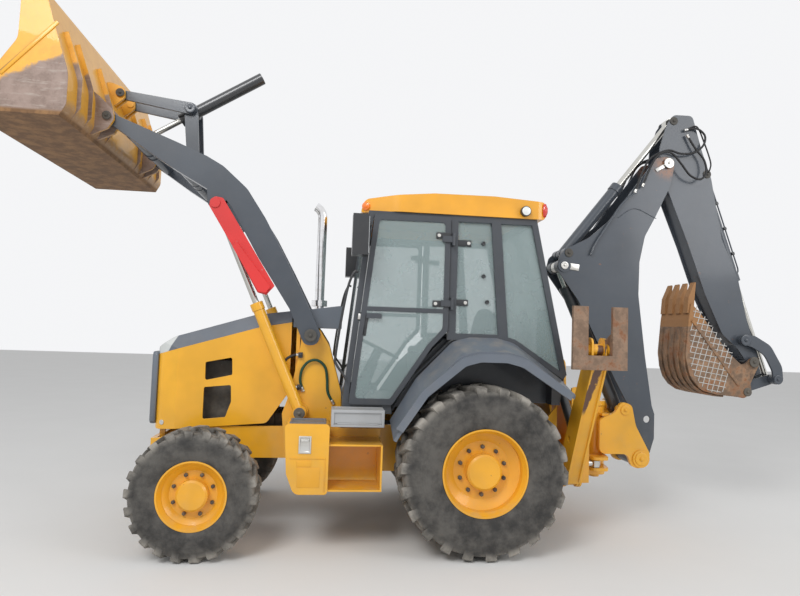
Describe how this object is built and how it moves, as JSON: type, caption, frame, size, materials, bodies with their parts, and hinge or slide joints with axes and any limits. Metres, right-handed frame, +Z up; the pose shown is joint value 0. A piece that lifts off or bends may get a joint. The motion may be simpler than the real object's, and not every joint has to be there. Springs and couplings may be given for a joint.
{
  "type": "backhoe loader",
  "caption": "Wheeled backhoe loader with a glazed cab: hinged front loader with a wide bucket, swinging rear digger, folding stabilizers and steered front wheels.",
  "frame": {"origin": "middle of the machine's length and width at rest, on the ground", "axes": "+X to the rear, +Y to the machine's right side, +Z up; the loader points to -X"},
  "size_m": [6.8892, 2.336, 4.0099],
  "materials": {
    "frame_paint": "amber yellow enamel, dusty",
    "drive_castings": "dark cast housings, oily and dusty",
    "cab_paint": "satin black coat",
    "roof_panel": "amber yellow moulding",
    "window_glass": "lightly tinted, clear",
    "cab_plastic": "grained black moulding",
    "seat_fabric": "woven seat cloth",
    "fender_plastic": "blue-grey moulding, dusty",
    "exhaust_chrome": "polished, slightly stained",
    "lamp_plastic": "black housings",
    "hose_rubber": "black hose",
    "hood_yellow": "amber yellow moulding",
    "hood_dark": "dark blue-grey moulding",
    "door_paint": "satin black coat",
    "tyre_rubber": "black, dusty",
    "rim_paint": "amber yellow enamel",
    "arm_paint": "dark blue-grey enamel, scratched",
    "lock_paint": "red enamel",
    "bucket_paint": "amber yellow, worn bare and rusty inside",
    "barrel_black": "black enamel",
    "barrel_yellow": "amber yellow enamel",
    "rod_chrome": "hard chrome",
    "worn_steel": "worn to rust"
  },
  "bodies": {
    "chassis": {"main_frame": "frame_paint", "powertrain": "drive_castings", "cab_frame": "cab_paint", "cab_roof": "roof_panel", "cab_glass": "window_glass", "operator_station": "cab_plastic", "operator_seat": "seat_fabric", "fenders": "fender_plastic", "exhaust_stack": "exhaust_chrome", "lamps_and_mirrors": "lamp_plastic", "backhoe_frame": "frame_paint", "hoses": "hose_rubber"},
    "hood": {"hood_panels": "hood_yellow", "hood_trim": "hood_dark"},
    "left_door": {"door_left": "door_paint", "door_left_glass": "window_glass"},
    "right_door": {"door_right": "door_paint", "door_right_glass": "window_glass"},
    "left_knuckle": {"knuckle_left": "frame_paint"},
    "right_knuckle": {"knuckle_right": "frame_paint"},
    "front_left_wheel": {"front_tyre_left": "tyre_rubber", "front_rim_left": "rim_paint"},
    "front_right_wheel": {"front_tyre_right": "tyre_rubber", "front_rim_right": "rim_paint"},
    "rear_left_wheel": {"rear_tyre_left": "tyre_rubber", "rear_rim_left": "rim_paint"},
    "rear_right_wheel": {"rear_tyre_right": "tyre_rubber", "rear_rim_right": "rim_paint"},
    "loader": {"loader_boom": "arm_paint", "boom_lock": "lock_paint"},
    "bucket": {"loader_bucket": "bucket_paint"},
    "lever": {"tilt_lever": "arm_paint"},
    "link": {"tilt_link": "arm_paint"},
    "tilt_cylinder": {"tilt_barrel": "barrel_black"},
    "tilt_piston": {"tilt_rod": "rod_chrome"},
    "lift_cylinders": {"lift_barrels": "barrel_yellow"},
    "lift_pistons": {"lift_rods": "rod_chrome"},
    "swing_tower": {"swing_post": "frame_paint"},
    "hoe_boom": {"backhoe_boom": "arm_paint"},
    "hoe_dipper": {"dipper": "arm_paint"},
    "hoe_bucket": {"backhoe_bucket": "worn_steel"},
    "hoe_guide": {"guide_link": "arm_paint"},
    "hoe_link": {"bucket_link": "arm_paint"},
    "boom_cylinder": {"boom_barrel": "barrel_black"},
    "boom_piston": {"boom_rod": "rod_chrome"},
    "dipper_cylinder": {"dipper_barrel": "barrel_black"},
    "dipper_piston": {"dipper_rod": "rod_chrome"},
    "hoe_cylinder": {"bucket_barrel": "barrel_black"},
    "hoe_piston": {"bucket_rod": "rod_chrome"},
    "left_swing_piston": {"swing_rod_left": "rod_chrome"},
    "right_swing_piston": {"swing_rod_right": "rod_chrome"},
    "left_stabilizer": {"stabilizer_leg_left": "frame_paint", "stabilizer_pad_left": "worn_steel"},
    "left_stabilizer_cylinder": {"stabilizer_barrel_left": "barrel_black"},
    "left_stabilizer_piston": {"stabilizer_rod_left": "rod_chrome"},
    "right_stabilizer": {"stabilizer_leg_right": "frame_paint", "stabilizer_pad_right": "worn_steel"},
    "right_stabilizer_cylinder": {"stabilizer_barrel_right": "barrel_black"},
    "right_stabilizer_piston": {"stabilizer_rod_right": "rod_chrome"}
  },
  "joints": [
    {"name": "hood_hinge", "type": "hinge", "parent": "chassis", "child": "hood", "pos_m": [-2.25, 0, 0.826], "axis": [0, -1, 0], "range_deg": [0, 60]},
    {"name": "left_door_hinge", "type": "hinge", "parent": "chassis", "child": "left_door", "pos_m": [0.057, -0.775, 1.9], "axis": [0, 0, 1], "range_deg": [0, 38]},
    {"name": "right_door_hinge", "type": "hinge", "parent": "chassis", "child": "right_door", "pos_m": [0.057, 0.775, 1.9], "axis": [0, 0, -1], "range_deg": [0, 38]},
    {"name": "left_steering", "type": "hinge", "parent": "chassis", "child": "left_knuckle", "pos_m": [-1.839, -0.7, 0.47], "axis": [0, 0, 1], "range_deg": [-36, 36]},
    {"name": "right_steering", "type": "hinge", "parent": "chassis", "child": "right_knuckle", "pos_m": [-1.839, 0.7, 0.47], "axis": [0, 0, 1], "range_deg": [-36, 36]},
    {"name": "front_left_axle", "type": "hinge", "parent": "left_knuckle", "child": "front_left_wheel", "pos_m": [-1.839, -0.888, 0.47], "axis": [0, 1, 0], "continuous": true},
    {"name": "front_right_axle", "type": "hinge", "parent": "right_knuckle", "child": "front_right_wheel", "pos_m": [-1.839, 0.888, 0.47], "axis": [0, 1, 0], "continuous": true},
    {"name": "rear_left_axle", "type": "hinge", "parent": "chassis", "child": "rear_left_wheel", "pos_m": [0.295, -0.845, 0.652], "axis": [0, 1, 0], "continuous": true},
    {"name": "rear_right_axle", "type": "hinge", "parent": "chassis", "child": "rear_right_wheel", "pos_m": [0.295, 0.845, 0.652], "axis": [0, 1, 0], "continuous": true},
    {"name": "loader_pivot", "type": "hinge", "parent": "chassis", "child": "loader", "pos_m": [-1.057, 0, 1.638], "axis": [0, 1, 0], "range_deg": [-83, 0]},
    {"name": "lift_cylinder_pivot", "type": "hinge", "parent": "chassis", "child": "lift_cylinders", "pos_m": [-1.12, 0, 1.022], "axis": [0, 1, 0], "range_deg": [-69.4, 0]},
    {"name": "lift_stroke", "type": "slide", "parent": "lift_cylinders", "child": "lift_pistons", "axis": [-0.4047, 0, 0.9144], "range_m": [-0.748, 0]},
    {"name": "bucket_pivot", "type": "hinge", "parent": "loader", "child": "bucket", "pos_m": [-2.695, 0, 3.292], "axis": [0, 1, 0], "range_deg": [-45, 105]},
    {"name": "lever_pivot", "type": "hinge", "parent": "loader", "child": "lever", "pos_m": [-2.155, 0, 3.065], "axis": [0, 1, 0], "range_deg": [-32.61, 74.76]},
    {"name": "link_pivot", "type": "hinge", "parent": "lever", "child": "link", "pos_m": [-2.202, 0, 3.59], "axis": [0, 1, 0], "range_deg": [-76.72, 33.45]},
    {"name": "tilt_cylinder_pivot", "type": "hinge", "parent": "lever", "child": "tilt_cylinder", "pos_m": [-2.202, 0, 3.59], "axis": [0, 1, 0], "range_deg": [-39.85, 17.65]},
    {"name": "tilt_stroke", "type": "slide", "parent": "tilt_cylinder", "child": "tilt_piston", "axis": [-0.8433, 0, -0.5375], "range_m": [-0.2117, 0.4873]},
    {"name": "swing_pivot", "type": "hinge", "parent": "chassis", "child": "swing_tower", "pos_m": [1.625, 0, 0.77], "axis": [0, 0, 1], "range_deg": [-90, 90]},
    {"name": "left_swing_stroke", "type": "slide", "parent": "chassis", "child": "left_swing_piston", "axis": [1, 0, 0], "range_m": [-0.1658, 0.1658]},
    {"name": "right_swing_stroke", "type": "slide", "parent": "chassis", "child": "right_swing_piston", "axis": [1, 0, 0], "range_m": [-0.1658, 0.1658]},
    {"name": "hoe_boom_pivot", "type": "hinge", "parent": "swing_tower", "child": "hoe_boom", "pos_m": [1.985, 0, 0.6], "axis": [0, -1, 0], "range_deg": [-115, 0]},
    {"name": "boom_cylinder_pivot", "type": "hinge", "parent": "swing_tower", "child": "boom_cylinder", "pos_m": [1.83, 0, 1.04], "axis": [0, -1, 0], "range_deg": [-133.1, 0]},
    {"name": "boom_stroke", "type": "slide", "parent": "boom_cylinder", "child": "boom_piston", "axis": [-0.4101, 0, 0.912], "range_m": [0, 0.584]},
    {"name": "dipper_pivot", "type": "hinge", "parent": "hoe_boom", "child": "hoe_dipper", "pos_m": [2.257, 0, 3.394], "axis": [0, 1, 0], "range_deg": [-115, 0]},
    {"name": "dipper_cylinder_pivot", "type": "hinge", "parent": "hoe_boom", "child": "dipper_cylinder", "pos_m": [1.28, 0, 2.482], "axis": [0, 1, 0], "range_deg": [-11.93, 0]},
    {"name": "dipper_stroke", "type": "slide", "parent": "dipper_cylinder", "child": "dipper_piston", "axis": [0.6171, 0, 0.7869], "range_m": [-0.7384, 0]},
    {"name": "hoe_bucket_pivot", "type": "hinge", "parent": "hoe_dipper", "child": "hoe_bucket", "pos_m": [3.16, 0, 1.517], "axis": [0, 1, 0], "range_deg": [-180, 0]},
    {"name": "guide_pivot", "type": "hinge", "parent": "hoe_dipper", "child": "hoe_guide", "pos_m": [3.049, 0, 1.724], "axis": [0, 1, 0], "range_deg": [-105.89, 0]},
    {"name": "hoe_link_pivot", "type": "hinge", "parent": "hoe_bucket", "child": "hoe_link", "pos_m": [3.014, 0, 1.238], "axis": [0, 1, 0], "range_deg": [0, 94.96]},
    {"name": "hoe_cylinder_pivot", "type": "hinge", "parent": "hoe_dipper", "child": "hoe_cylinder", "pos_m": [2.69, 0, 3.33], "axis": [0, 1, 0], "range_deg": [-13.68, 0]},
    {"name": "hoe_stroke", "type": "slide", "parent": "hoe_cylinder", "child": "hoe_piston", "axis": [0.3341, 0, -0.9425], "range_m": [-0.7229, 0]},
    {"name": "left_stabilizer_pivot", "type": "hinge", "parent": "chassis", "child": "left_stabilizer", "pos_m": [1.161, -0.5, 0.5], "axis": [-1, 0, 0], "range_deg": [-90, 0]},
    {"name": "left_stabilizer_cylinder_pivot", "type": "hinge", "parent": "chassis", "child": "left_stabilizer_cylinder", "pos_m": [1.161, -0.15, 1.42], "axis": [-1, 0, 0], "range_deg": [-6.59, 0]},
    {"name": "left_stabilizer_stroke", "type": "slide", "parent": "left_stabilizer_cylinder", "child": "left_stabilizer_piston", "axis": [0, -0.6631, -0.7485], "range_m": [0, 0.5466]},
    {"name": "right_stabilizer_pivot", "type": "hinge", "parent": "chassis", "child": "right_stabilizer", "pos_m": [1.161, 0.5, 0.5], "axis": [1, 0, 0], "range_deg": [-90, 0]},
    {"name": "right_stabilizer_cylinder_pivot", "type": "hinge", "parent": "chassis", "child": "right_stabilizer_cylinder", "pos_m": [1.161, 0.15, 1.42], "axis": [1, 0, 0], "range_deg": [-6.59, 0]},
    {"name": "right_stabilizer_stroke", "type": "slide", "parent": "right_stabilizer_cylinder", "child": "right_stabilizer_piston", "axis": [0, 0.6631, -0.7485], "range_m": [0, 0.5466]}
  ],
  "couplings": [
    {"joint": "right_steering", "follows": "left_steering", "ratio": 1},
    {"joint": "lift_cylinder_pivot", "follows": "loader_pivot", "ratio": 0.82408},
    {"joint": "lift_stroke", "follows": "loader_pivot", "m_per_rad": 0.51293},
    {"joint": "lever_pivot", "follows": "bucket_pivot", "ratio": 0.70245},
    {"joint": "link_pivot", "follows": "bucket_pivot", "ratio": -0.72116},
    {"joint": "tilt_cylinder_pivot", "follows": "bucket_pivot", "ratio": -0.36998},
    {"joint": "tilt_stroke", "follows": "bucket_pivot", "m_per_rad": 0.26317},
    {"joint": "left_swing_stroke", "follows": "swing_pivot", "m_per_rad": 0.103},
    {"joint": "right_swing_stroke", "follows": "swing_pivot", "m_per_rad": -0.103},
    {"joint": "boom_cylinder_pivot", "follows": "hoe_boom_pivot", "ratio": 1.1487},
    {"joint": "boom_stroke", "follows": "hoe_boom_pivot", "m_per_rad": -0.28846},
    {"joint": "dipper_cylinder_pivot", "follows": "dipper_pivot", "ratio": 0.09504},
    {"joint": "dipper_stroke", "follows": "dipper_pivot", "m_per_rad": 0.36539},
    {"joint": "guide_pivot", "follows": "hoe_bucket_pivot", "ratio": 0.58272},
    {"joint": "hoe_link_pivot", "follows": "hoe_bucket_pivot", "ratio": -0.52202},
    {"joint": "hoe_cylinder_pivot", "follows": "hoe_bucket_pivot", "ratio": 0.07046},
    {"joint": "hoe_stroke", "follows": "hoe_bucket_pivot", "m_per_rad": 0.22851},
    {"joint": "left_stabilizer_cylinder_pivot", "follows": "left_stabilizer_pivot", "ratio": 0.06211},
    {"joint": "left_stabilizer_stroke", "follows": "left_stabilizer_pivot", "m_per_rad": -0.34477},
    {"joint": "right_stabilizer_cylinder_pivot", "follows": "right_stabilizer_pivot", "ratio": 0.06211},
    {"joint": "right_stabilizer_stroke", "follows": "right_stabilizer_pivot", "m_per_rad": -0.34477}
  ]
}
